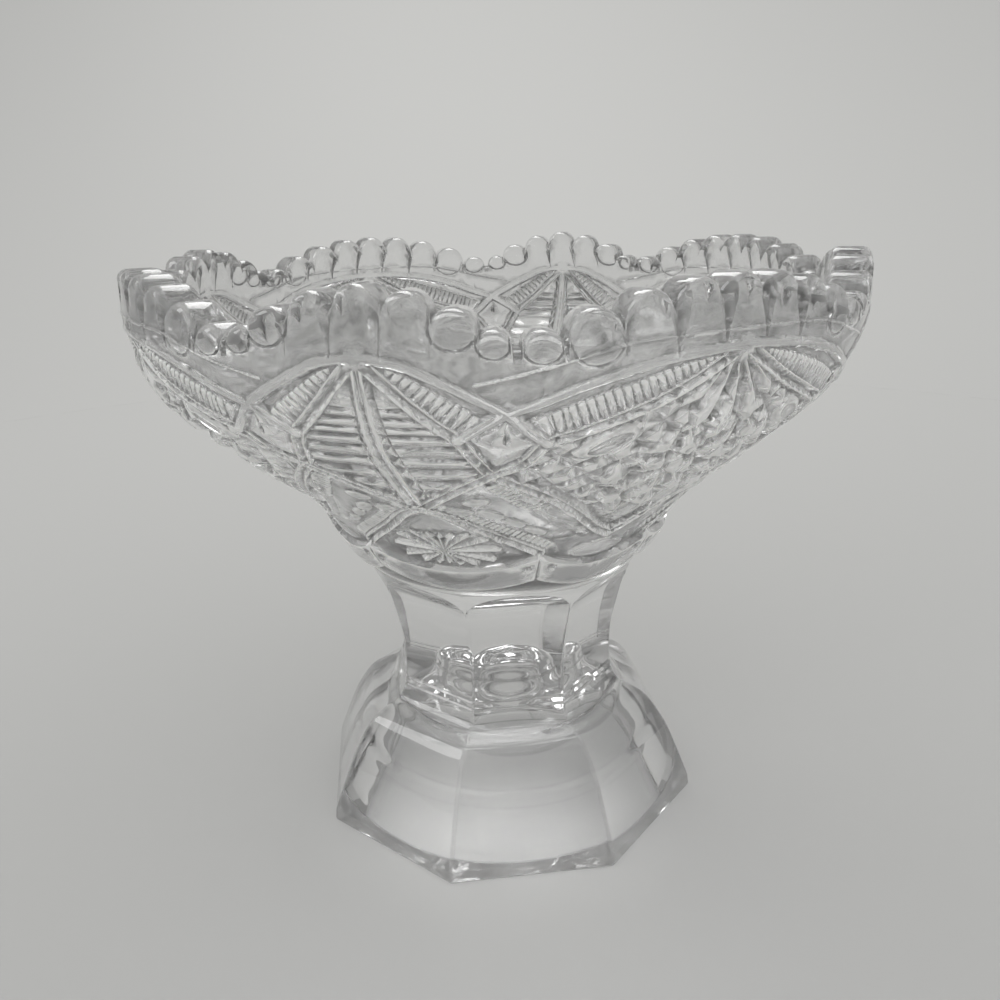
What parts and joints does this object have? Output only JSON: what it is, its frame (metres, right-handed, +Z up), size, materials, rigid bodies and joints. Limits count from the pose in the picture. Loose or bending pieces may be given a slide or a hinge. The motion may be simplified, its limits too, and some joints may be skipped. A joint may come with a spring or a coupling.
{
  "type": "compote",
  "caption": "Clear pressed-glass compote: flared bowl with a scalloped, beaded rim and cut-style star pattern on a panelled stem and hollow eight-sided foot.",
  "frame": {"origin": "middle of the foot's underside, on the surface it stands on", "axes": "+Z up along the stem's axis; -Y towards the middle of a narrow scallop and its star"},
  "size_m": [0.1788, 0.1788, 0.1505],
  "materials": {
    "clear_glass": "fire-polished clear soda-lime glass, faintly grey where it is thick"
  },
  "bodies": {
    "root": {"bowl": "clear_glass", "stem": "clear_glass", "foot": "clear_glass"}
  },
  "joints": []
}
